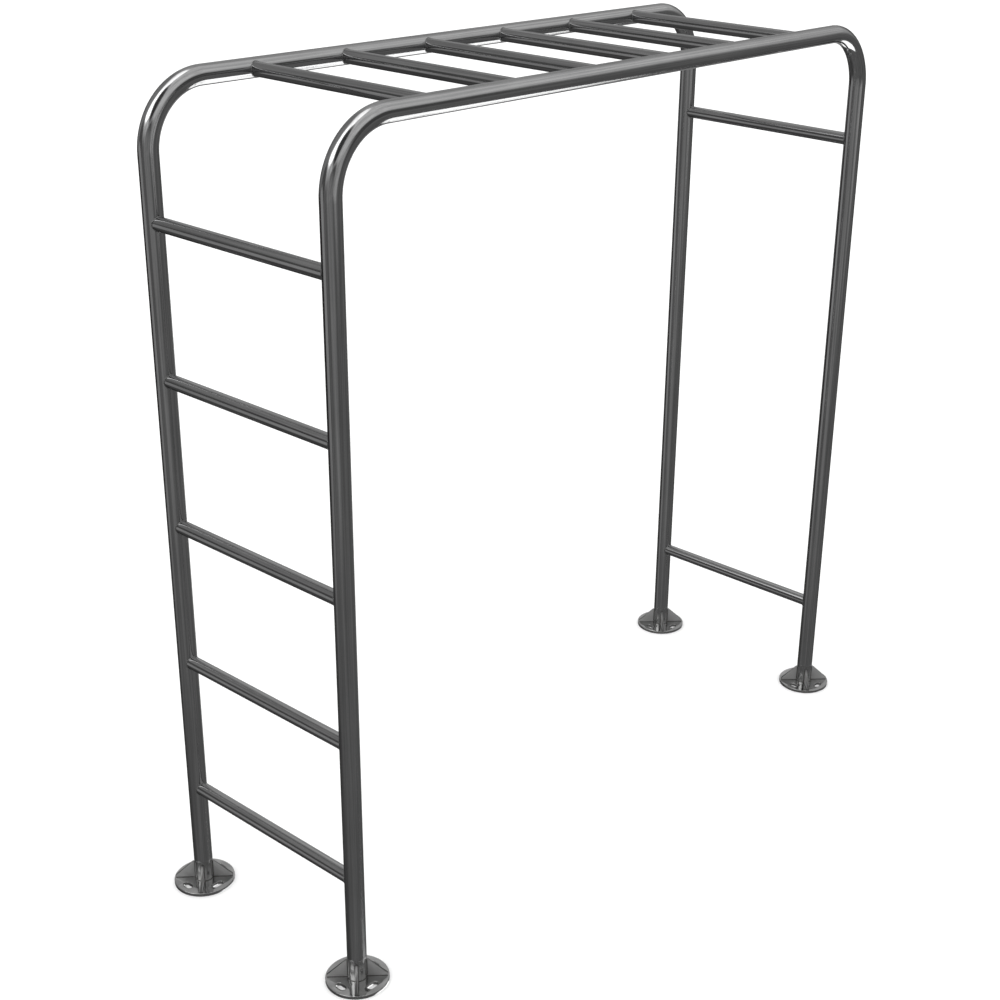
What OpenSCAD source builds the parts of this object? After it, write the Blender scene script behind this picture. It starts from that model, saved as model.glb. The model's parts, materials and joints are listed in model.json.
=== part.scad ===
// Monkey bars in brushed steel tube: two side frames bent into an upside-down U, a ladder at
// one end, two rungs at the other and a row of hand rungs between the top rails.
// Units are millimetres, +Z is up, X runs along the rails and the origin is on the ground
// in the middle of the four feet. "ladder" is the -X end, "far" the +X end, "front" the -Y side.

/* [Frame] */
// Distance between the posts along the rails, axis to axis
span = 2000; // [1500:10:3000]
// Distance between the two side frames, axis to axis
width = 600; // [450:10:900]
// Overall height above the ground
height = 2130; // [1500:5:2600]
// Outside diameter of the posts and rails
tube_d = 48.3; // [38:0.1:60.3]
// Radius of the corner bends at the tube's centre line
bend_r = 158; // [100:1:300]
// Wall thickness of every tube
wall = 2; // [1.5:0.1:4]

/* [Rungs] */
// Outside diameter of the rungs
rung_d = 35; // [25:0.5:42]
// Height of the lowest rung's axis above the ground
first_rung = 295; // [200:5:450]
// Distance between neighbouring ladder rungs
ladder_pitch = 375; // [250:5:400]
// Distance between neighbouring hand rungs
hand_pitch = 280; // [220:5:350]

/* [Feet] */
// Diameter of the round base plate
flange_d = 158; // [120:1:220]
// Thickness of the base plate
flange_t = 9; // [6:0.5:16]
// Bevel around the upper edge of the base plate
flange_bevel = 0.8; // [0.2:0.1:2]
// Distance from the post's axis to the middle of an anchor slot
slot_reach = 55; // [45:0.5:90]
// End-to-end length of an anchor slot
slot_l = 31; // [18:0.5:40]
// Width of an anchor slot
slot_w = 16.5; // [9:0.5:18]
// Height of the polished collar between the base plate and the post
collar_h = 61; // [40:1:120]
// Height of a stiffening fin above the base plate
fin_h = 49; // [30:1:110]
// Thickness of a stiffening fin
fin_t = 6; // [4:0.5:10]
// Distance from the post's axis to the tip of a fin
fin_reach = 75; // [50:1:100]
// Width of the short level edge at the top of a fin
fin_top = 4; // [2:0.5:20]
// Height of a fin at its tip
fin_tip = 7; // [1:0.5:15]

/* [Welds] */
// Leg of the weld bead around the end of a rung
rung_weld = 2.2; // [1:0.1:5]
// Leg of the weld bead around the foot of a collar
foot_weld = 3; // [1:0.1:6]

/* [Hidden] */
$fn = 96;
tube_r = tube_d / 2;
rung_r = rung_d / 2;
rail_z = height - tube_r;
post_base = flange_t + collar_h;
post_top = rail_z - bend_r;
rail_half = span / 2 - bend_r;
ladder_z = [for (i = [0:4]) first_rung + i * ladder_pitch];
hand_x = [for (i = [0:5]) (i - 2.5) * hand_pitch];
eps = 0.5;
brushed = "#5c5c5c";
bright = "#8c8c8c";
polished = "#a4a4a4";

// ---------- Shared shapes ----------

// Puts its children at one corner: end is -1 at the ladder and 1 at the far end,
// side is -1 at the front and 1 at the back
module at_corner(end, side) {
  translate([end * span / 2, side * width / 2, 0])
    children();
}

// Straight tube along Z from z = low to z = high
module tube(r, low, high) {
  difference() {
    translate([0, 0, low])
      cylinder(r = r, h = high - low);
    translate([0, 0, low - eps])
      cylinder(r = r - wall, h = high - low + 2 * eps);
  }
}

// Solid bar along Y, for trimming and welds
module bar_y(r, length) {
  rotate([90, 0, 0])
    cylinder(r = r, h = length, center = true);
}

// Solid bar along X
module bar_x(r, length) {
  rotate([0, 90, 0])
    cylinder(r = r, h = length, center = true);
}

// ---------- Side frames ----------

module post(end, side) {
  color(brushed)
    at_corner(end, side)
      tube(tube_r, post_base, post_top);
}

// Quarter bend from the top of a post to the end of a rail
module bend(end, side) {
  color(brushed)
    translate([end * rail_half, side * width / 2, post_top])
      rotate([90, 0, 0])
        rotate([0, 0, end > 0 ? 0 : 90])
          rotate_extrude(angle = 90)
            translate([bend_r, 0])
              difference() {
                circle(r = tube_r);
                circle(r = tube_r - wall);
              }
}

module rail(side) {
  color(brushed)
    translate([0, side * width / 2, rail_z])
      rotate([0, 90, 0])
        tube(tube_r, -rail_half, rail_half);
}

// ---------- Rungs ----------

// Rung along Y, its ends cut to fit upright posts or level rails
module rung(upright) {
  difference() {
    rotate([90, 0, 0])
      tube(rung_r, -width / 2, width / 2);
    for (side = [-1, 1])
      translate([0, side * width / 2, 0])
        if (upright)
          cylinder(r = tube_r, h = 3 * rung_d, center = true);
        else
          bar_x(tube_r, 3 * rung_d);
  }
}

module post_rung(end, z) {
  color(brushed)
    translate([end * span / 2, 0, z])
      rung(true);
}

module hand_rung(i) {
  color(brushed)
    translate([hand_x[i - 1], 0, rail_z])
      rung(false);
}

// Weld beads at both ends of one rung, following the curve where rung and tube meet
module rung_beads(upright) {
  for (side = [-1, 1])
    difference() {
      intersection() {
        bar_y(rung_r + rung_weld, width);
        translate([0, side * width / 2, 0])
          if (upright)
            cylinder(r = tube_r + rung_weld, h = 3 * rung_d, center = true);
          else
            bar_x(tube_r + rung_weld, 3 * rung_d);
      }
      bar_y(rung_r, width + 2 * eps);
      translate([0, side * width / 2, 0])
        if (upright)
          cylinder(r = tube_r, h = 4 * rung_d, center = true);
        else
          bar_x(tube_r, 4 * rung_d);
    }
}

module ladder_rung_welds() {
  color(bright)
    for (z = ladder_z)
      translate([-span / 2, 0, z])
        rung_beads(true);
}

module far_rung_welds() {
  color(bright)
    for (z = [ladder_z[0], ladder_z[4]])
      translate([span / 2, 0, z])
        rung_beads(true);
}

module hand_rung_welds() {
  color(bright)
    for (x = hand_x)
      translate([x, 0, rail_z])
        rung_beads(false);
}

// ---------- Feet ----------

// One anchor slot through the base plate, its long side around the post
module anchor_slot() {
  straight = slot_l - slot_w;
  translate([slot_reach, 0, flange_t / 2]) {
    cube([slot_w, straight, flange_t + 2 * eps], center = true);
    for (s = [-1, 1])
      translate([0, s * straight / 2, 0])
        cylinder(d = slot_w, h = flange_t + 2 * eps, center = true);
  }
}

module flange(end, side) {
  color(polished)
    at_corner(end, side)
      difference() {
        union() {
          cylinder(d = flange_d, h = flange_t - flange_bevel);
          translate([0, 0, flange_t - flange_bevel])
            cylinder(d1 = flange_d, d2 = flange_d - 2 * flange_bevel, h = flange_bevel);
        }
        for (a = [0:90:270])
          rotate([0, 0, a])
            anchor_slot();
      }
}

module collar(end, side) {
  color(polished)
    at_corner(end, side)
      tube(tube_r, flange_t, post_base);
}

// Outline of a fin: x is the distance from the post's axis, y the height above the base plate
module fin_outline() {
  polygon([
    [0, 0],
    [fin_reach, 0],
    [fin_reach, fin_tip],
    [tube_r + fin_top, fin_h],
    [0, fin_h]
  ]);
}

// Four fins stand on the diagonals of each foot, numbered anticlockwise from the +X +Y one
module fin(end, side, number) {
  color(polished)
    at_corner(end, side)
      difference() {
        translate([0, 0, flange_t])
          rotate([0, 0, number * 90 - 45])
            rotate([90, 0, 0])
              linear_extrude(fin_t, center = true)
                fin_outline();
        cylinder(r = tube_r, h = 2 * height);
      }
}

// Sloping weld bead between base plate and collar, broken by the fins
module foot_bead(end, side) {
  color(bright)
    at_corner(end, side)
      difference() {
        translate([0, 0, flange_t])
          cylinder(r1 = tube_r + foot_weld, r2 = tube_r + 0.2, h = foot_weld);
        cylinder(r = tube_r, h = 2 * post_base);
        for (a = [45, 135])
          rotate([0, 0, a])
            translate([0, 0, flange_t])
              cube([2 * flange_d, fin_t, 4 * foot_weld], center = true);
      }
}

// ---------- Assembly ----------

post(-1, -1);  // post_front_ladder
post(-1, 1);  // post_back_ladder
post(1, -1);  // post_front_far
post(1, 1);  // post_back_far

bend(-1, -1);  // bend_front_ladder
bend(-1, 1);  // bend_back_ladder
bend(1, -1);  // bend_front_far
bend(1, 1);  // bend_back_far

rail(-1);  // rail_front
rail(1);  // rail_back

post_rung(-1, ladder_z[0]);  // ladder_rung_1
post_rung(-1, ladder_z[1]);  // ladder_rung_2
post_rung(-1, ladder_z[2]);  // ladder_rung_3
post_rung(-1, ladder_z[3]);  // ladder_rung_4
post_rung(-1, ladder_z[4]);  // ladder_rung_5

post_rung(1, ladder_z[0]);  // far_rung_low
post_rung(1, ladder_z[4]);  // far_rung_high

hand_rung(1);  // hand_rung_1
hand_rung(2);  // hand_rung_2
hand_rung(3);  // hand_rung_3
hand_rung(4);  // hand_rung_4
hand_rung(5);  // hand_rung_5
hand_rung(6);  // hand_rung_6

flange(-1, -1);  // flange_front_ladder
flange(-1, 1);  // flange_back_ladder
flange(1, -1);  // flange_front_far
flange(1, 1);  // flange_back_far

collar(-1, -1);  // collar_front_ladder
collar(-1, 1);  // collar_back_ladder
collar(1, -1);  // collar_front_far
collar(1, 1);  // collar_back_far

fin(-1, -1, 1);  // fin_front_ladder_1
fin(-1, -1, 2);  // fin_front_ladder_2
fin(-1, -1, 3);  // fin_front_ladder_3
fin(-1, -1, 4);  // fin_front_ladder_4
fin(-1, 1, 1);  // fin_back_ladder_1
fin(-1, 1, 2);  // fin_back_ladder_2
fin(-1, 1, 3);  // fin_back_ladder_3
fin(-1, 1, 4);  // fin_back_ladder_4
fin(1, -1, 1);  // fin_front_far_1
fin(1, -1, 2);  // fin_front_far_2
fin(1, -1, 3);  // fin_front_far_3
fin(1, -1, 4);  // fin_front_far_4
fin(1, 1, 1);  // fin_back_far_1
fin(1, 1, 2);  // fin_back_far_2
fin(1, 1, 3);  // fin_back_far_3
fin(1, 1, 4);  // fin_back_far_4

foot_bead(-1, -1);  // foot_weld_front_ladder
foot_bead(-1, 1);  // foot_weld_back_ladder
foot_bead(1, -1);  // foot_weld_front_far
foot_bead(1, 1);  // foot_weld_back_far

ladder_rung_welds();
far_rung_welds();
hand_rung_welds();
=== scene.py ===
"""Monkey bars in brushed steel tube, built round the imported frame.

Metres, +Z up. X runs along the top rails: the ladder is at the -X end, the far end is +X.
The front side frame is at -Y, the back one at +Y. Nothing on the object moves.
"""

import json
import math

import bmesh
import bpy
from mathutils import Euler, Matrix, Vector
from mathutils.geometry import tessellate_polygon


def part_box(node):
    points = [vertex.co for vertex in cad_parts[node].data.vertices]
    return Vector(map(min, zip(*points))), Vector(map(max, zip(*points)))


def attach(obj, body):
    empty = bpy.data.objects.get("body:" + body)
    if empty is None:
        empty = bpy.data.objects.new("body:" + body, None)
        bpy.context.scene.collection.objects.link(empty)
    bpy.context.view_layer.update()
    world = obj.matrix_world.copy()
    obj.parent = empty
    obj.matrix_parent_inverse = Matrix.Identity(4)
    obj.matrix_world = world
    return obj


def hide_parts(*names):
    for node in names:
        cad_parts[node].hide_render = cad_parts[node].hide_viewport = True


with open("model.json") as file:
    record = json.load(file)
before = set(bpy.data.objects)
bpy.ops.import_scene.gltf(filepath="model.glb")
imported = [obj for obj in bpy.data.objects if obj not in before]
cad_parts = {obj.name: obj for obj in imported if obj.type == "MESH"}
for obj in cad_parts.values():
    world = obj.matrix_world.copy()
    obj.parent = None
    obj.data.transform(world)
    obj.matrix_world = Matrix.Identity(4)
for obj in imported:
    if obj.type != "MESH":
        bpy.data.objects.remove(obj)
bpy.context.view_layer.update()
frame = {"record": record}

# ---------------------------------------------------------------------------------------------
# Sizes, read from the frame
# ---------------------------------------------------------------------------------------------

CORNERS = ("front_ladder", "back_ladder", "front_far", "back_far")
SIDES = ("front", "back")
LADDER_RUNGS = [f"ladder_rung_{i}" for i in range(1, 6)]
FAR_RUNGS = ["far_rung_low", "far_rung_high"]
HAND_RUNGS = [f"hand_rung_{i}" for i in range(1, 7)]


def extent(node):
    """Size of a node's box, to a hundredth of a millimetre."""
    low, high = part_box(node)
    return Vector(round(high[i] - low[i], 5) for i in range(3))


def middle(node):
    """Centre of a node's box."""
    low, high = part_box(node)
    return (low + high) / 2


def mount(name):
    return next(m for m in frame["record"]["mounts"] if m["name"] == name)


TUBE_R = extent("bend_front_ladder").y / 2
TUBE_WALL = 0.002
RUNG_R = extent("hand_rung_1").x / 2
HALF_WIDTH = middle("post_back_far").y
HALF_SPAN = middle("post_back_far").x
RAIL_Z = middle("rail_front").z
RAIL_HALF = extent("rail_front").x / 2
BEND_R = HALF_SPAN - RAIL_HALF
PLATE_T = extent("flange_front_far").z
PLATE_R = round(extent("flange_front_far").y / 2, 4)
COLLAR_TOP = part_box("collar_front_far")[1].z
FIN_T = 0.006
FIN_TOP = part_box("fin_front_far_1")[1].z
FIN_REACH = (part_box("fin_back_far_1")[1].x - HALF_SPAN) * math.sqrt(2) - FIN_T / 2
FIN_LEVEL_EDGE = 0.004
FIN_TIP_H = 0.007
SLOT = mount("anchor_slots_front_side")
SLOT_REACH = abs(SLOT["pos_m"][1])
SLOT_R = SLOT["dims"]["hole_r_mm"] / 1000
SLOT_HALF_STRAIGHT = SLOT["dims"]["slot_length_mm"] / 2000 - SLOT_R

AROUND_TUBE = 96
AROUND_RUNG = 80
AROUND_PLATE = 192
AROUND_SLOT_END = 14
STATIONS_BEND = 48
STATIONS_STRAIGHT = 12


# ---------------------------------------------------------------------------------------------
# Material building blocks
# ---------------------------------------------------------------------------------------------


def float_input(tree, name, value):
    socket = tree.interface.new_socket(name, in_out="INPUT", socket_type="NodeSocketFloat")
    socket.default_value = value


def vector_input(tree, name):
    tree.interface.new_socket(name, in_out="INPUT", socket_type="NodeSocketVector")


def float_output(tree, name):
    tree.interface.new_socket(name, in_out="OUTPUT", socket_type="NodeSocketFloat")


def math_node(tree, operation, first, second):
    """A Math node whose two inputs are sockets or numbers; returns its output."""
    node = tree.nodes.new("ShaderNodeMath")
    node.operation = operation
    for place, value in enumerate((first, second)):
        if isinstance(value, (int, float)):
            node.inputs[place].default_value = value
        else:
            tree.links.new(value, node.inputs[place])
    return node.outputs[0]


def smooth_step(tree, value, low, high):
    """0 below low and 1 above high, with a smooth rise between."""
    node = tree.nodes.new("ShaderNodeMapRange")
    node.interpolation_type = "SMOOTHSTEP"
    node.inputs["From Min"].default_value = low
    node.inputs["From Max"].default_value = high
    tree.links.new(value, node.inputs["Value"])
    return node.outputs["Result"]


def rescale(tree, value, low, high):
    """Turns 0..1 into low..high."""
    node = tree.nodes.new("ShaderNodeMapRange")
    node.inputs["To Min"].default_value = low
    node.inputs["To Max"].default_value = high
    tree.links.new(value, node.inputs["Value"])
    return node.outputs["Result"]


def noise(tree, vector, scale, detail=3.0, roughness=0.55):
    node = tree.nodes.new("ShaderNodeTexNoise")
    node.inputs["Detail"].default_value = detail
    node.inputs["Roughness"].default_value = roughness
    if isinstance(scale, (int, float)):
        node.inputs["Scale"].default_value = scale
    else:
        tree.links.new(scale, node.inputs["Scale"])
    tree.links.new(vector, node.inputs["Vector"])
    return node.outputs["Fac"]


def long_grain_group():
    """Brush lines that run along the coordinate's X and vary across its Y and Z."""
    tree = bpy.data.node_groups.new("Long grain", "ShaderNodeTree")
    vector_input(tree, "Vector")
    float_input(tree, "Lines per Metre", 2600.0)
    float_input(tree, "Breaks per Metre", 9.0)
    float_output(tree, "Grain")
    float_output(tree, "Bands")
    start = tree.nodes.new("NodeGroupInput")
    end = tree.nodes.new("NodeGroupOutput")
    parts = tree.nodes.new("ShaderNodeSeparateXYZ")
    tree.links.new(start.outputs["Vector"], parts.inputs[0])

    def stretched(across, along):
        joined = tree.nodes.new("ShaderNodeCombineXYZ")
        tree.links.new(math_node(tree, "MULTIPLY", parts.outputs["X"], along), joined.inputs["X"])
        tree.links.new(math_node(tree, "MULTIPLY", parts.outputs["Y"], across), joined.inputs["Y"])
        tree.links.new(math_node(tree, "MULTIPLY", parts.outputs["Z"], across), joined.inputs["Z"])
        return joined.outputs[0]

    lines = start.outputs["Lines per Metre"]
    breaks = start.outputs["Breaks per Metre"]
    fine = noise(tree, stretched(lines, breaks), 1.0, detail=4.0, roughness=0.7)
    band_lines = math_node(tree, "MULTIPLY", lines, 0.09)
    band_breaks = math_node(tree, "MULTIPLY", breaks, 0.25)
    bands = noise(tree, stretched(band_lines, band_breaks), 1.0, detail=2.0, roughness=0.5)
    tree.links.new(smooth_step(tree, fine, 0.28, 0.72), end.inputs["Grain"])
    tree.links.new(smooth_step(tree, bands, 0.37, 0.63), end.inputs["Bands"])
    return tree


def clouding_group():
    """Soft patches where the finish is a little duller, as from hands and weather."""
    tree = bpy.data.node_groups.new("Clouding", "ShaderNodeTree")
    vector_input(tree, "Vector")
    float_input(tree, "Patches per Metre", 9.0)
    float_output(tree, "Cloud")
    float_output(tree, "Speckle")
    start = tree.nodes.new("NodeGroupInput")
    end = tree.nodes.new("NodeGroupOutput")
    scale = start.outputs["Patches per Metre"]
    cloud = noise(tree, start.outputs["Vector"], scale, detail=5.0, roughness=0.6)
    fine_scale = math_node(tree, "MULTIPLY", scale, 30.0)
    speckle = noise(tree, start.outputs["Vector"], fine_scale, detail=2.0, roughness=0.6)
    tree.links.new(smooth_step(tree, cloud, 0.32, 0.7), end.inputs["Cloud"])
    tree.links.new(smooth_step(tree, speckle, 0.35, 0.65), end.inputs["Speckle"])
    return tree


def scratch_group():
    """Thin random hairlines in two directions."""
    tree = bpy.data.node_groups.new("Hairlines", "ShaderNodeTree")
    vector_input(tree, "Vector")
    float_input(tree, "Lines per Metre", 260.0)
    float_output(tree, "Scratch")
    start = tree.nodes.new("NodeGroupInput")
    end = tree.nodes.new("NodeGroupOutput")
    masks = []
    for turn in ((0.3, 0.2, 0.9), (-0.5, 0.7, -0.6)):
        placed = tree.nodes.new("ShaderNodeMapping")
        placed.inputs["Rotation"].default_value = turn
        placed.inputs["Scale"].default_value = (0.06, 1.0, 1.0)
        tree.links.new(start.outputs["Vector"], placed.inputs["Vector"])
        value = noise(tree, placed.outputs[0], start.outputs["Lines per Metre"], detail=3.0)
        off_middle = math_node(tree, "ABSOLUTE", math_node(tree, "SUBTRACT", value, 0.5), 0.0)
        masks.append(smooth_step(tree, off_middle, 0.012, 0.0))
    tree.links.new(math_node(tree, "MAXIMUM", masks[0], masks[1]), end.inputs["Scratch"])
    return tree


def ground_dust_group():
    """Dust that gathers low down, strongest at the ground and gone by the stated height."""
    tree = bpy.data.node_groups.new("Ground dust", "ShaderNodeTree")
    vector_input(tree, "Vector")
    float_input(tree, "Height", 0.05)
    float_output(tree, "Dust")
    start = tree.nodes.new("NodeGroupInput")
    end = tree.nodes.new("NodeGroupOutput")
    parts = tree.nodes.new("ShaderNodeSeparateXYZ")
    tree.links.new(start.outputs["Vector"], parts.inputs[0])
    level = math_node(tree, "DIVIDE", parts.outputs["Z"], start.outputs["Height"])
    low_down = smooth_step(tree, level, 1.0, 0.0)
    patches = noise(tree, start.outputs["Vector"], 60.0, detail=4.0)
    tree.links.new(
        math_node(tree, "MULTIPLY", low_down, smooth_step(tree, patches, 0.4, 0.7)), end.inputs["Dust"]
    )
    return tree


LONG_GRAIN = long_grain_group()
CLOUDING = clouding_group()
HAIRLINES = scratch_group()
GROUND_DUST = ground_dust_group()


def start_metal(name, bump_distance):
    """A new material with a Principled BSDF, its bump node and its coordinates."""
    material = bpy.data.materials.new(name)
    material.use_nodes = True
    tree = material.node_tree
    shader = tree.nodes["Principled BSDF"]
    shader.inputs["Metallic"].default_value = 1.0
    bump = tree.nodes.new("ShaderNodeBump")
    bump.inputs["Distance"].default_value = bump_distance
    tree.links.new(bump.outputs["Normal"], shader.inputs["Normal"])
    return material, tree, shader, bump


def use_group(tree, group, vector, **values):
    node = tree.nodes.new("ShaderNodeGroup")
    node.node_tree = group
    tree.links.new(vector, node.inputs["Vector"])
    for key, value in values.items():
        node.inputs[key.replace("_", " ")].default_value = value
    return node


def object_coordinates(tree):
    return tree.nodes.new("ShaderNodeTexCoord").outputs["Object"]


def tube_coordinates(tree):
    """Distance along the tube in X, place around it in Y and Z, as each tube's mesh stores them."""
    node = tree.nodes.new("ShaderNodeAttribute")
    node.attribute_name = "tube_space"
    return node.outputs["Vector"]


def tinted(tree, value, dark, light):
    """Base colour between two greys."""
    node = tree.nodes.new("ShaderNodeMix")
    node.data_type = "RGBA"
    node.inputs["A"].default_value = (*dark, 1.0)
    node.inputs["B"].default_value = (*light, 1.0)
    tree.links.new(value, node.inputs["Factor"])
    return node.outputs["Result"]


def mixture(tree, *parts):
    """Weighted sum of (socket, weight) pairs."""
    total = None
    for socket, weight in parts:
        share = math_node(tree, "MULTIPLY", socket, weight)
        total = share if total is None else math_node(tree, "ADD", total, share)
    return total


def brushed_tube(name, dark, light, smooth, rough, grain_depth):
    """Tube polished and then brushed along its length."""
    material, tree, shader, bump = start_metal(name, grain_depth)
    grain = use_group(tree, LONG_GRAIN, tube_coordinates(tree))
    cloud = use_group(tree, CLOUDING, object_coordinates(tree))
    scratch = use_group(tree, HAIRLINES, object_coordinates(tree))
    lines, bands = grain.outputs["Grain"], grain.outputs["Bands"]
    patches, speckle = cloud.outputs["Cloud"], cloud.outputs["Speckle"]

    shade = mixture(tree, (lines, 0.2), (bands, 0.6), (patches, 0.2))
    tree.links.new(tinted(tree, shade, dark, light), shader.inputs["Base Color"])
    hairs = scratch.outputs["Scratch"]
    gloss = mixture(tree, (lines, 0.3), (bands, 0.2), (patches, 0.3), (hairs, 0.2))
    tree.links.new(rescale(tree, gloss, smooth, rough), shader.inputs["Roughness"])
    tree.links.new(mixture(tree, (lines, 1.0), (speckle, 0.3)), bump.inputs["Height"])
    bump.inputs["Strength"].default_value = 0.5
    shader.inputs["Specular Tint"].default_value = (0.55, 0.55, 0.55, 1)
    return material


def foot_metal(name, dark, light, smooth, rough, metallic):
    """Plate and collar steel with faint hairlines, and dust where it meets the ground."""
    material, tree, shader, bump = start_metal(name, 0.00003)
    shader.inputs["Metallic"].default_value = metallic
    place = object_coordinates(tree)
    cloud = use_group(tree, CLOUDING, place, Patches_per_Metre=22.0)
    scratch = use_group(tree, HAIRLINES, place, Lines_per_Metre=420.0)
    dust = use_group(tree, GROUND_DUST, place, Height=0.014)
    patches, hairs = cloud.outputs["Cloud"], scratch.outputs["Scratch"]

    shade = mixture(tree, (patches, 0.7), (hairs, 0.3))
    tree.links.new(tinted(tree, shade, dark, light), shader.inputs["Base Color"])
    gloss = mixture(tree, (patches, 0.35), (hairs, 0.35), (dust.outputs["Dust"], 0.8))
    tree.links.new(rescale(tree, gloss, smooth, rough), shader.inputs["Roughness"])
    tree.links.new(cloud.outputs["Speckle"], bump.inputs["Height"])
    bump.inputs["Strength"].default_value = 0.25
    return material


def weld_metal(name):
    """Weld bead: close to the tubes' grey up high, darker in the corners at the ground, which is
    painted shade.
    """
    material, tree, shader, bump = start_metal(name, 0.00006)
    place = object_coordinates(tree)
    cloud = use_group(tree, CLOUDING, place, Patches_per_Metre=70.0)
    parts = tree.nodes.new("ShaderNodeSeparateXYZ")
    tree.links.new(place, parts.inputs[0])
    # painted shade: the bead's colour darkens towards the ground, in the corners of the feet
    above_ground_shade = smooth_step(tree, parts.outputs["Z"], 0.08, 0.2)
    shade = math_node(tree, "MULTIPLY", above_ground_shade, rescale(tree, cloud.outputs["Cloud"], 0.6, 1.0))
    colour = tinted(tree, shade, (0.10, 0.098, 0.095), (0.26, 0.26, 0.26))
    tree.links.new(colour, shader.inputs["Base Color"])
    tree.links.new(rescale(tree, cloud.outputs["Speckle"], 0.45, 0.6), shader.inputs["Roughness"])
    tree.links.new(cloud.outputs["Speckle"], bump.inputs["Height"])
    bump.inputs["Strength"].default_value = 0.4
    return material


TUBE_STEEL = brushed_tube("Brushed tube", (0.35, 0.35, 0.352), (0.49, 0.49, 0.492), 0.08, 0.14, 0.00002)
RUNG_STEEL = brushed_tube("Brushed rung", (0.34, 0.34, 0.342), (0.48, 0.48, 0.482), 0.08, 0.14, 0.00002)
FOOT_STEEL = foot_metal("Polished foot", (0.38, 0.38, 0.378), (0.45, 0.45, 0.448), 0.06, 0.17, 1.0)
COLLAR_STEEL = foot_metal("Worn collar", (0.34, 0.34, 0.338), (0.41, 0.41, 0.408), 0.2, 0.34, 1.0)
FIN_STEEL = foot_metal("Satin fin", (0.5, 0.5, 0.498), (0.56, 0.56, 0.558), 0.4, 0.5, 0.85)
# the fins' rims and sloped edges: a much darker copy of the fin steel, painted shade standing in for
# the dark they reflect
FIN_EDGE_SHADED_STEEL = foot_metal("Fin edge painted dark", (0.17, 0.17, 0.168), (0.23, 0.23, 0.228), 0.36, 0.5, 1.0)
WELD_STEEL = weld_metal("Weld bead")


# ---------------------------------------------------------------------------------------------
# Mesh helpers
# ---------------------------------------------------------------------------------------------


def finish_mesh(name, points, faces, material, tube_space=None, flat_faces=(), crease=35.0):
    """Makes an object from points and faces: faces outward, smooth but for creases and flat faces."""
    mesh = bpy.data.meshes.new(name)
    mesh.from_pydata([tuple(p) for p in points], [], faces)
    if tube_space:
        attribute = mesh.attributes.new("tube_space", "FLOAT_VECTOR", "POINT")
        attribute.data.foreach_set("vector", [c for v in tube_space for c in v])
    work = bmesh.new()
    work.from_mesh(mesh)
    bmesh.ops.recalc_face_normals(work, faces=work.faces)
    work.to_mesh(mesh)
    work.free()
    for polygon in mesh.polygons:
        polygon.use_smooth = True
    for index in flat_faces:
        mesh.polygons[index].use_smooth = False
    mesh.set_sharp_from_angle(angle=math.radians(crease))
    mesh.materials.append(material)
    piece = bpy.data.objects.new(name, mesh)
    bpy.context.scene.collection.objects.link(piece)
    return piece


def join_rings(rings):
    """Quads between neighbouring rings of equal length, the last ring joined to the first."""
    count = len(rings[0])
    faces = []
    for i, first in enumerate(rings):
        second = rings[(i + 1) % len(rings)]
        for j in range(count):
            k = (j + 1) % count
            faces.append((first[j], first[k], second[k], second[j]))
    return faces


def hollow_tube(name, outer_rings, inner_rings, tube_space, material):
    """Closed tube wall: outer rings from one end to the other, then inner rings back again."""
    points = []
    numbered = []
    for ring in outer_rings + inner_rings[::-1]:
        numbered.append(list(range(len(points), len(points) + len(ring))))
        points += ring
    space = [v for ring in tube_space for v in ring]
    space += [v for ring in tube_space[::-1] for v in ring]
    return finish_mesh(name, points, join_rings(numbered), material, tube_space=space, crease=50.0)


def turned_piece(name, centre, profile, count, material):
    """Revolves a closed profile of (radius, height) points round a vertical axis."""
    points = []
    rings = []
    for radius, height in profile:
        rings.append(list(range(len(points), len(points) + count)))
        for j in range(count):
            a = 2 * math.pi * j / count
            points.append(centre + Vector((radius * math.cos(a), radius * math.sin(a), height)))
    return finish_mesh(name, points, join_rings(rings), material)


def inset_outline(outline, distance):
    """Moves an outline of 2-D points into its material, which lies on its left."""
    moved = []
    for i, point in enumerate(outline):
        before = (point - outline[i - 1]).normalized()
        after = (outline[(i + 1) % len(outline)] - point).normalized()
        across_before = Vector((-before.y, before.x))
        across_after = Vector((-after.y, after.x))
        across = across_before + across_after
        across /= max(1e-6, 1 + across_before.dot(across_after))
        moved.append(point + across * distance)
    return moved


def bevelled_plate(name, outlines, thickness, bevel, place, material, steps=4):
    """Flat plate with rounded edges. The first outline is the rim and the rest are holes.

    place is a matrix that takes the plate from its own plane, centred on z = 0, to the frame.
    """
    half = thickness / 2
    layers = []
    for k in range(steps + 1):
        turn = math.pi / 2 * (1 - k / steps)
        layers.append((bevel * (1 - math.cos(turn)), -half + bevel - bevel * math.sin(turn)))
    layers += [(inset, -z) for inset, z in layers[::-1]]
    points = []
    faces = []
    caps = ([], [])
    for outline in outlines:
        rings = []
        for inset, z in layers:
            rings.append(list(range(len(points), len(points) + len(outline))))
            points += [Vector((p.x, p.y, z)) for p in inset_outline(outline, inset)]
        faces += join_rings(rings)[: -len(outline)]
        caps[0].append(rings[0])
        caps[1].append(rings[-1])
    flat = []
    for cap in caps:
        loops = [[points[i] for i in ring] for ring in cap]
        order = [i for ring in cap for i in ring]
        for triangle in tessellate_polygon(loops):
            flat.append(len(faces))
            faces.append(tuple(order[i] for i in triangle))
    placed = [place @ p for p in points]
    return finish_mesh(name, placed, faces, material, flat_faces=flat, crease=60.0)


def hand_in(piece, slot, *nodes):
    """Ties a finished piece to the frame."""
    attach(piece, "root")
    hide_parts(*nodes)


# ---------------------------------------------------------------------------------------------
# Side frames: each follows one path, up the ladder post, over the rail and down the far post
# ---------------------------------------------------------------------------------------------

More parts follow.
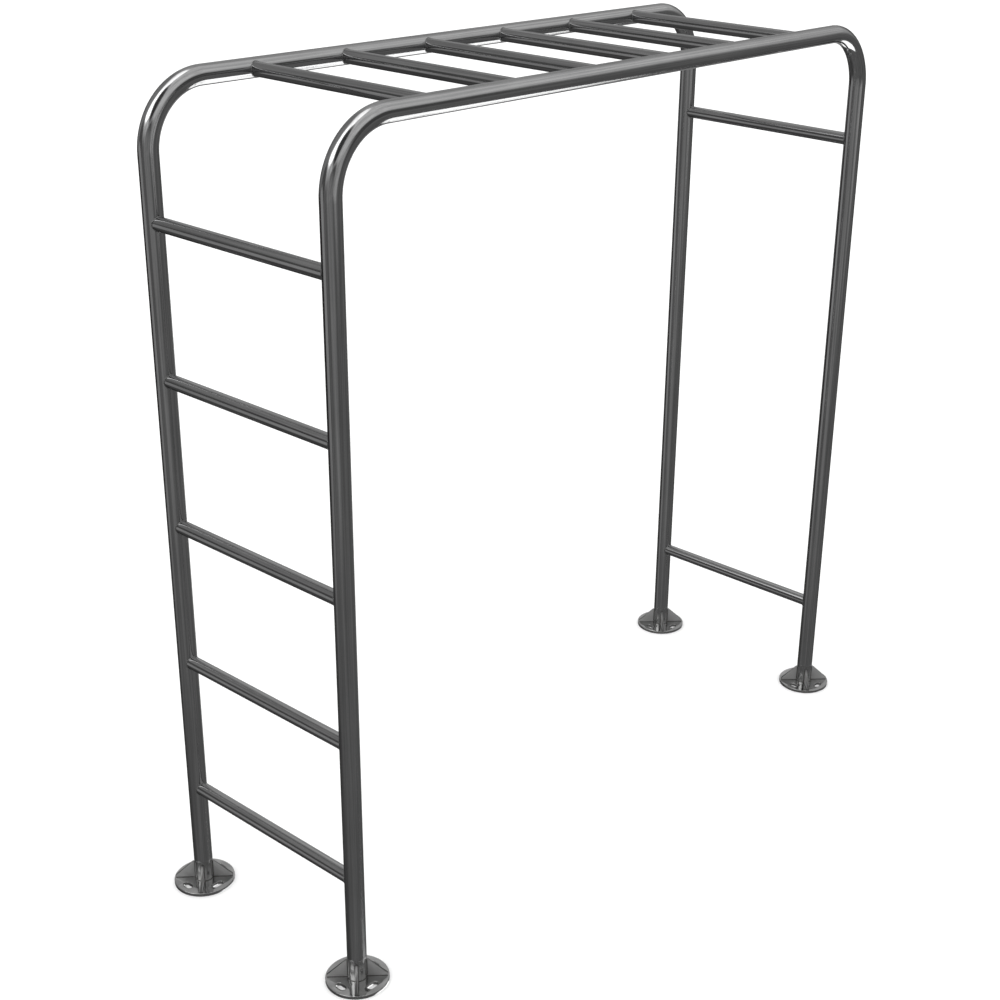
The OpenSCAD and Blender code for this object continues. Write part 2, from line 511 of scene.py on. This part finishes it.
POST_LENGTH = RAIL_Z - BEND_R - COLLAR_TOP
BEND_LENGTH = BEND_R * math.pi / 2
RAIL_LENGTH = 2 * RAIL_HALF
SEAM_STEP = 0.0004
RAIL_START = POST_LENGTH + BEND_LENGTH
RAIL_END = RAIL_START + RAIL_LENGTH
FULL_RUN = RAIL_END + BEND_LENGTH + POST_LENGTH
RUN = {
    "post_{}_ladder": (0, POST_LENGTH),
    "bend_{}_ladder": (POST_LENGTH, RAIL_START),
    "rail_{}": (RAIL_START, RAIL_END),
    "bend_{}_far": (RAIL_END, RAIL_END + BEND_LENGTH),
    "post_{}_far": (RAIL_END + BEND_LENGTH, FULL_RUN),
}


def along_side_frame(run):
    """Centre (x, z) and outward direction (x, z) at a distance along a side frame's path."""
    if run > FULL_RUN / 2:
        (x, z), (out_x, out_z) = along_side_frame(FULL_RUN - run)
        return (-x, z), (-out_x, out_z)
    if run <= POST_LENGTH:
        return (-HALF_SPAN, COLLAR_TOP + run), (-1.0, 0.0)
    if run <= RAIL_START:
        a = (run - POST_LENGTH) / BEND_R
        centre = (-RAIL_HALF - BEND_R * math.cos(a), RAIL_Z - BEND_R + BEND_R * math.sin(a))
        return centre, (-math.cos(a), math.sin(a))
    return (-RAIL_HALF + run - RAIL_START, RAIL_Z), (0.0, 1.0)


def side_frame_tube(node, side_y, start, end, stations):
    """One stretch of a side frame's tube, with a ring at each station."""
    outer, inner, space = [], [], []
    for run in stations:
        (x, z), (out_x, out_z) = along_side_frame(min(max(run, start), end))
        centre = Vector((x, side_y, z))
        outward = Vector((out_x, 0, out_z))
        across = Vector((0, 1, 0))
        around = [2 * math.pi * j / AROUND_TUBE for j in range(AROUND_TUBE)]
        directions = [outward * math.cos(a) + across * math.sin(a) for a in around]
        outer.append([centre + d * TUBE_R for d in directions])
        inner.append([centre + d * (TUBE_R - TUBE_WALL) for d in directions])
        space.append([(run, TUBE_R * math.cos(a), TUBE_R * math.sin(a)) for a in around])
    piece = hollow_tube(f"{node}_tube", outer, inner, space, TUBE_STEEL)
    hand_in(piece, "brushed_tube", node)


def even_stations(start, end, count):
    """Stations from start to end, with one close to each end so that shading meets its neighbour's."""
    inside = [start + (end - start) * i / count for i in range(1, count)]
    return [start, start + SEAM_STEP, *inside, end - SEAM_STEP, end]


for side, side_y in zip(SIDES, (-HALF_WIDTH, HALF_WIDTH)):
    for pattern, (start, end) in RUN.items():
        count = STATIONS_BEND if pattern.startswith("bend") else STATIONS_STRAIGHT
        stations = even_stations(start, end, count)
        side_frame_tube(pattern.format(side), side_y, start, end, stations)


# ---------------------------------------------------------------------------------------------
# Rungs: ends cut to the curve of the tube they meet
# ---------------------------------------------------------------------------------------------


def joint_reach(a, radius, upright):
    """How far from the middle a rung's wall runs before it meets a post (upright) or a rail."""
    across = radius * (math.cos(a) if upright else math.sin(a))
    return HALF_WIDTH - math.sqrt(TUBE_R**2 - across**2)


def rung_bar(node, upright):
    centre = middle(node)
    around = [2 * math.pi * j / AROUND_RUNG for j in range(AROUND_RUNG)]
    stations = [-1.0, -0.997, *[i / 8 for i in range(-7, 8)], 0.997, 1.0]
    outer, inner, space = [], [], []
    for share in stations:
        for rings, radius in ((outer, RUNG_R), (inner, RUNG_R - TUBE_WALL)):
            ring = []
            for a in around:
                reach = share * joint_reach(a, radius, upright)
                ring.append(centre + Vector((radius * math.cos(a), reach, radius * math.sin(a))))
            rings.append(ring)
        run = share * HALF_WIDTH + 3 * centre.z + 5 * centre.x
        space.append([(run, RUNG_R * math.cos(a), RUNG_R * math.sin(a)) for a in around])
    piece = hollow_tube(f"{node}_bar", outer, inner, space, RUNG_STEEL)
    hand_in(piece, "rung_steel", node)


for node in LADDER_RUNGS + FAR_RUNGS:
    rung_bar(node, True)
for node in HAND_RUNGS:
    rung_bar(node, False)


# ---------------------------------------------------------------------------------------------
# Feet: base plate, collar and four fins
# ---------------------------------------------------------------------------------------------

PLATE_BEVEL = 0.0009
FIN_BEVEL = 0.0006
COLLAR_BEVEL = 0.0004


def foot_centre(corner):
    post = middle(f"post_{corner}")
    return Vector((post.x, post.y, 0))


def circle(radius, count):
    return [
        Vector((radius * math.cos(2 * math.pi * i / count), radius * math.sin(2 * math.pi * i / count)))
        for i in range(count)
    ]


def slot_outline(turn):
    """An anchor slot's outline, clockwise, at a turn round the post."""
    outline = []
    for end in (1, -1):
        for k in range(AROUND_SLOT_END + 1):
            a = math.pi * k / AROUND_SLOT_END
            across = SLOT_REACH + end * SLOT_R * -math.cos(a)
            outline.append(Vector((across, end * (SLOT_HALF_STRAIGHT + SLOT_R * math.sin(a)))))
    return [Matrix.Rotation(turn, 2) @ p for p in outline]


def base_plate(corner):
    outlines = [circle(PLATE_R, AROUND_PLATE)] + [slot_outline(k * math.pi / 2) for k in range(4)]
    place = Matrix.Translation(foot_centre(corner) + Vector((0, 0, PLATE_T / 2)))
    piece = bevelled_plate(f"flange_{corner}_plate", outlines, PLATE_T, PLATE_BEVEL, place, FOOT_STEEL)
    hand_in(piece, "polished_foot", f"flange_{corner}")


def collar(corner):
    inside = TUBE_R - TUBE_WALL
    profile = [
        (TUBE_R, PLATE_T),
        (TUBE_R, PLATE_T + SEAM_STEP),
        (TUBE_R, COLLAR_TOP - COLLAR_BEVEL),
        (TUBE_R - COLLAR_BEVEL, COLLAR_TOP),
        (inside, COLLAR_TOP),
        (inside, PLATE_T),
    ]
    name = f"collar_{corner}_sleeve"
    piece = turned_piece(name, foot_centre(corner), profile, AROUND_TUBE, COLLAR_STEEL)
    hand_in(piece, "polished_foot", f"collar_{corner}")


def fin_plate(corner, number):
    """A fin in its own plane: x away from the post, y up from the base plate."""
    foot_of_cut = math.sqrt(TUBE_R**2 - (FIN_T / 2) ** 2)
    rise = FIN_TOP - PLATE_T
    outline = [
        Vector((foot_of_cut, 0)),
        Vector((FIN_REACH, 0)),
        Vector((FIN_REACH, FIN_TIP_H)),
        Vector((TUBE_R + FIN_LEVEL_EDGE, rise)),
        Vector((foot_of_cut, rise)),
    ]
    turn = math.radians(number * 90 - 45)
    place = (
        Matrix.Translation(foot_centre(corner) + Vector((0, 0, PLATE_T)))
        @ Matrix.Rotation(turn, 4, "Z")
        @ Matrix.Rotation(math.pi / 2, 4, "X")
    )
    node = f"fin_{corner}_{number}"
    piece = bevelled_plate(f"{node}_plate", [outline], FIN_T, FIN_BEVEL, place, FIN_STEEL, steps=3)
    # rims and sloped edges take the darker steel with the painted shade
    piece.data.materials.append(FIN_EDGE_SHADED_STEEL)
    sideways = place.to_3x3() @ Vector((0, 0, 1))
    for polygon in piece.data.polygons:
        polygon.material_index = 0 if abs(polygon.normal.dot(sideways)) > 0.9 else 1
    hand_in(piece, "polished_foot", node)


for corner in CORNERS:
    base_plate(corner)
    collar(corner)
    for number in range(1, 5):
        fin_plate(corner, number)


# ---------------------------------------------------------------------------------------------
# Welds: Geometry Nodes lay a rippled bead along each seam
# ---------------------------------------------------------------------------------------------


RUNG_BEAD = {"Bead Radius": 0.0014, "Ripple Pitch": 0.0016, "Ripple Depth": 0.14, "Wander": 0.1}
FOOT_BEAD = {"Bead Radius": 0.0014, "Ripple Pitch": 0.0014, "Ripple Depth": 0.12, "Wander": 0.1}
FIRST_FOOT_SEED = 20.0


def weld_bead_tree():
    tree = bpy.data.node_groups.new("Weld bead", "GeometryNodeTree")
    face = tree.interface
    face.new_socket("Seams", in_out="INPUT", socket_type="NodeSocketGeometry")
    for name in ("Bead Radius", "Ripple Pitch", "Ripple Depth", "Wander", "Seed"):
        float_input(tree, name, RUNG_BEAD.get(name, 3.0))
    face.new_socket("Metal", in_out="INPUT", socket_type="NodeSocketMaterial")
    face.new_socket("Beads", in_out="OUTPUT", socket_type="NodeSocketGeometry")
    start = tree.nodes.new("NodeGroupInput")
    end = tree.nodes.new("NodeGroupOutput")

    seams = tree.nodes.new("GeometryNodeMeshToCurve")
    tree.links.new(start.outputs["Seams"], seams.inputs["Mesh"])
    evened = tree.nodes.new("GeometryNodeResampleCurve")
    evened.mode = "LENGTH"
    tree.links.new(seams.outputs["Curve"], evened.inputs["Curve"])
    step = math_node(tree, "DIVIDE", start.outputs["Ripple Pitch"], 5.0)
    tree.links.new(step, evened.inputs["Length"])

    # each ripple rises sharply and falls away slowly behind the torch
    place = tree.nodes.new("GeometryNodeSplineParameter")
    phase = math_node(tree, "DIVIDE", place.outputs["Length"], start.outputs["Ripple Pitch"])
    part = math_node(tree, "FRACT", phase, 0.0)
    ripple = math_node(tree, "SUBTRACT", 0.5, math_node(tree, "MULTIPLY", part, part))
    ripple = math_node(tree, "MULTIPLY", ripple, start.outputs["Ripple Depth"])

    where = tree.nodes.new("GeometryNodeInputPosition")
    uneven = tree.nodes.new("ShaderNodeTexNoise")
    uneven.noise_dimensions = "4D"
    uneven.inputs["Scale"].default_value = 240.0
    tree.links.new(where.outputs[0], uneven.inputs["Vector"])
    tree.links.new(start.outputs["Seed"], uneven.inputs["W"])
    drift = math_node(tree, "SUBTRACT", uneven.outputs[0], 0.5)
    drift = math_node(tree, "MULTIPLY", drift, start.outputs["Wander"])
    swell = math_node(tree, "ADD", math_node(tree, "ADD", ripple, drift), 1.0)

    section = tree.nodes.new("GeometryNodeCurvePrimitiveCircle")
    section.inputs["Resolution"].default_value = 10
    tree.links.new(start.outputs["Bead Radius"], section.inputs["Radius"])
    bead = tree.nodes.new("GeometryNodeCurveToMesh")
    bead.inputs["Fill Caps"].default_value = True
    tree.links.new(evened.outputs["Curve"], bead.inputs["Curve"])
    tree.links.new(section.outputs["Curve"], bead.inputs["Profile Curve"])
    tree.links.new(swell, bead.inputs["Scale"])

    smooth = tree.nodes.new("GeometryNodeSetShadeSmooth")
    real = tree.nodes.new("GeometryNodeRealizeInstances")
    metal = tree.nodes.new("GeometryNodeSetMaterial")
    tree.links.new(bead.outputs["Mesh"], smooth.inputs["Geometry"])
    tree.links.new(smooth.outputs["Geometry"], real.inputs["Geometry"])
    tree.links.new(real.outputs["Geometry"], metal.inputs["Geometry"])
    tree.links.new(start.outputs["Metal"], metal.inputs["Material"])
    tree.links.new(metal.outputs["Geometry"], end.inputs["Beads"])
    return tree


WELD_BEAD = weld_bead_tree()


def lay_beads(name, seams, values, node):
    """Runs the weld bead tree along seams, each a (points, closed) pair, and keeps the plain mesh."""
    points, edges = [], []
    for seam, closed in seams:
        first = len(points)
        points += [tuple(p) for p in seam]
        edges += [(first + i, first + i + 1) for i in range(len(seam) - 1)]
        if closed:
            edges.append((len(points) - 1, first))
    guide_mesh = bpy.data.meshes.new(f"{name}_guide")
    guide_mesh.from_pydata(points, edges, [])
    guide = bpy.data.objects.new(f"{name}_guide", guide_mesh)
    bpy.context.scene.collection.objects.link(guide)
    modifier = guide.modifiers.new("Weld bead", "NODES")
    modifier.node_group = WELD_BEAD
    sockets = {s.name: s.identifier for s in WELD_BEAD.interface.items_tree if s.in_out == "INPUT"}
    for key, value in {**values, "Metal": WELD_STEEL}.items():
        modifier[sockets[key]] = value
    shaped = guide.evaluated_get(bpy.context.evaluated_depsgraph_get())
    mesh = bpy.data.meshes.new_from_object(shaped)
    mesh.name = name
    bpy.data.objects.remove(guide)
    work = bmesh.new()
    work.from_mesh(mesh)
    bmesh.ops.recalc_face_normals(work, faces=work.faces)
    work.to_mesh(mesh)
    work.free()
    piece = bpy.data.objects.new(name, mesh)
    bpy.context.scene.collection.objects.link(piece)
    hand_in(piece, "weld", node)


def rung_seams(node, upright):
    """The two closed curves where a rung meets its posts or rails."""
    centre = middle(node)
    seams = []
    for end in (-1, 1):
        seam = []
        for j in range(AROUND_RUNG):
            a = 2 * math.pi * j / AROUND_RUNG
            reach = end * joint_reach(a, RUNG_R, upright)
            seam.append(centre + Vector((RUNG_R * math.cos(a), reach, RUNG_R * math.sin(a))))
        seams.append((seam, True))
    return seams


for name, nodes, upright in (
    ("ladder_rung_welds", LADDER_RUNGS, True),
    ("far_rung_welds", FAR_RUNGS, True),
    ("hand_rung_welds", HAND_RUNGS, False),
):
    seams = [seam for node in nodes for seam in rung_seams(node, upright)]
    lay_beads(f"{name}_beads", seams, {**RUNG_BEAD, "Seed": float(len(seams))}, name)


def foot_seams(corner):
    """Seams of one foot: round the collar's base from fin to fin, and up both sides of each fin."""
    centre = foot_centre(corner)
    seams = []
    edge = math.asin(FIN_T / 2 / TUBE_R)
    fin_angles = [math.radians(45 + 90 * k) for k in range(4)]
    for fin in fin_angles:
        next_fin = fin + math.pi / 2
        away, next_away = (Vector((math.cos(a), math.sin(a), 0)) for a in (fin, next_fin))
        sideways = Vector((-away.y, away.x, 0)) * FIN_T / 2
        next_sideways = Vector((next_away.y, -next_away.x, 0)) * FIN_T / 2
        base = centre + Vector((0, 0, PLATE_T))
        lengths = [FIN_REACH - (FIN_REACH - TUBE_R - 0.001) * k / 12 for k in range(13)]
        seam = [base + away * r + sideways for r in lengths]
        for k in range(1, 20):
            a = fin + edge + (math.pi / 2 - 2 * edge) * k / 20
            seam.append(base + Vector((TUBE_R * math.cos(a), TUBE_R * math.sin(a), 0)))
        seam += [base + next_away * r + next_sideways for r in lengths[::-1]]
        seams.append((seam, False))
        rise = FIN_TOP - PLATE_T
        root = math.sqrt(TUBE_R**2 - (FIN_T / 2) ** 2)
        for offset in (sideways, -sideways):
            upward = [base + away * root + offset + Vector((0, 0, rise * k / 10)) for k in range(1, 11)]
            seams.append((upward, False))
    return seams


for number, corner in enumerate(CORNERS):
    values = {**FOOT_BEAD, "Seed": FIRST_FOOT_SEED + number}
    lay_beads(f"foot_weld_{corner}_beads", foot_seams(corner), values, f"foot_weld_{corner}")


# ---------------------------------------------------------------------------------------------
# Floor, studio light and camera
# ---------------------------------------------------------------------------------------------


FLOOR_HALF = 60.0
FLOOR_DROP = 0.0002
BACKDROP_STRENGTH = 1.3


def pale_floor():
    """A wide floor just under the plates, which the steel doesn't reflect."""
    mesh = bpy.data.meshes.new("floor")
    corners = [(x * FLOOR_HALF, y * FLOOR_HALF, 0) for x, y in ((-1, -1), (1, -1), (1, 1), (-1, 1))]
    mesh.from_pydata(corners, [], [(0, 1, 2, 3)])
    material = bpy.data.materials.new("Pale floor")
    material.use_nodes = True
    shader = material.node_tree.nodes["Principled BSDF"]
    shader.inputs["Base Color"].default_value = (0.95, 0.95, 0.95, 1)
    shader.inputs["Roughness"].default_value = 0.9
    shader.inputs["Specular IOR Level"].default_value = 0.0
    mesh.materials.append(material)
    floor = bpy.data.objects.new("floor", mesh)
    floor.location.z = -FLOOR_DROP
    floor.visible_glossy = False
    bpy.context.scene.collection.objects.link(floor)


# What the steel reflects: soft oval panels in a grey room, laid over one another in this order.
# Each has the heading and height of its centre, its half width and half height, all in degrees,
# then the soft rim as a share of the panel, then the brightness. Heading 0 is +X and 90 is +Y.
STUDIO_PANELS = {
    # the bright strip on the outside of the bends, with its dark core
    "overhead lamp": (110, 80, 20, 15, 0.3, 2.5),
    "side lamp": (165, 50, 20, 20, 0.3, 3.5),
    "dark flag": (215, 50, 15, 20, 0.5, 0.05),
    # the dark and light bands along the rungs
    "flag stand": (225, 10, 15, 10, 0.8, 0.1),
    "side doorway": (300, 5, 15, 10, 0.8, 0.1),
    "far doorway": (20, 10, 15, 10, 0.8, 0.2),
    "far curtain": (45, 20, 20, 25, 0.8, 0.6),
    "back wall": (105, 30, 25, 30, 0.6, 0.3),
    "left doorway": (145, 5, 15, 15, 0.8, 0.1),
    # the dark edge and lighter stripes up the posts
    "black cloth": (105, -20, 10, 10, 0.6, 0.02),
    "left card": (135, -15, 15, 15, 0.2, 0.4),
    "near card": (215, -5, 20, 15, 0.8, 0.3),
    "right card": (270, 0, 15, 10, 0.8, 0.5),
    "far card": (25, -25, 15, 10, 0.5, 0.5),
    # the white strip beneath the rails, and the shaded floor to its left
    "floor lamp": (345, -55, 30, 15, 0.05, 2.8),
    "floor shade": (100, -50, 30, 20, 0.6, 0.1),
}
ROOM_LOW = 0.17
ROOM_HIGH = 0.8
ROOM_UNEVEN = (0.3, 1.7)


def panel_mask(tree, direction, heading, height, half_width, half_height, rim):
    """1 where a direction falls inside an oval panel, 0 outside, soft across its rim."""
    a, e = math.radians(heading), math.radians(height)
    aim = Vector((math.cos(e) * math.cos(a), math.cos(e) * math.sin(a), math.sin(e)))
    side = Vector((-math.sin(a), math.cos(a), 0))
    upward = aim.cross(side)
    share = tree.nodes.new("ShaderNodeCombineXYZ")
    ahead = None
    for axis, place in (
        (side / math.sin(math.radians(half_width)), "X"),
        (upward / math.sin(math.radians(half_height)), "Y"),
        (aim, None),
    ):
        along = tree.nodes.new("ShaderNodeVectorMath")
        along.operation = "DOT_PRODUCT"
        along.inputs[1].default_value = axis
        tree.links.new(direction, along.inputs[0])
        if place:
            tree.links.new(along.outputs["Value"], share.inputs[place])
        else:
            ahead = along.outputs["Value"]
    reach = tree.nodes.new("ShaderNodeVectorMath")
    reach.operation = "LENGTH"
    tree.links.new(share.outputs[0], reach.inputs[0])
    inside = smooth_step(tree, reach.outputs["Value"], 1 + rim, 1.0)
    return math_node(tree, "MULTIPLY", inside, smooth_step(tree, ahead, 0.0, 0.1))


def studio_world():
    """White to the eye and to the floor; soft panels in a grey room to the steel."""
    world = bpy.data.worlds.new("Studio")
    bpy.context.scene.world = world
    world.use_nodes = True
    tree = world.node_tree
    tree.nodes.clear()
    out = tree.nodes.new("ShaderNodeOutputWorld")
    direction = tree.nodes.new("ShaderNodeTexCoord").outputs["Generated"]
    parts = tree.nodes.new("ShaderNodeSeparateXYZ")
    tree.links.new(direction, parts.inputs[0])
    room = rescale(tree, smooth_step(tree, parts.outputs["Z"], -0.1, 0.5), ROOM_LOW, ROOM_HIGH)
    for *shape, level in STUDIO_PANELS.values():
        mix = tree.nodes.new("ShaderNodeMix")
        mix.data_type = "FLOAT"
        tree.links.new(panel_mask(tree, direction, *shape), mix.inputs["Factor"])
        tree.links.new(room, mix.inputs["A"])
        mix.inputs["B"].default_value = level
        room = mix.outputs["Result"]
    uneven = rescale(tree, noise(tree, direction, 12.0, detail=2.0), *ROOM_UNEVEN)
    room = math_node(tree, "MULTIPLY", room, uneven)

    steel_sees = tree.nodes.new("ShaderNodeBackground")
    steel_sees.inputs["Color"].default_value = (1, 1, 1, 1)
    tree.links.new(room, steel_sees.inputs["Strength"])
    white = tree.nodes.new("ShaderNodeBackground")
    white.inputs["Color"].default_value = (1, 1, 1, 1)
    white.inputs["Strength"].default_value = BACKDROP_STRENGTH
    rays = tree.nodes.new("ShaderNodeLightPath")
    choice = tree.nodes.new("ShaderNodeMixShader")
    tree.links.new(rays.outputs["Is Glossy Ray"], choice.inputs["Fac"])
    tree.links.new(white.outputs[0], choice.inputs[1])
    tree.links.new(steel_sees.outputs[0], choice.inputs[2])
    tree.links.new(choice.outputs[0], out.inputs["Surface"])


def add_camera():
    data = bpy.data.cameras.new("Camera")
    data.lens = 59.72
    data.sensor_width = 36.0
    data.shift_x = -0.0716
    data.shift_y = -0.0041
    data.clip_end = 200.0
    camera = bpy.data.objects.new("Camera", data)
    camera.location = (-3.1993, -2.7909, 2.7437)
    camera.rotation_euler = Euler([math.radians(d) for d in (66.5052, -1.3509, -49.4887)], "XYZ")
    bpy.context.scene.collection.objects.link(camera)
    bpy.context.scene.camera = camera


pale_floor()
studio_world()
add_camera()
bpy.context.scene.view_settings.view_transform = "Standard"
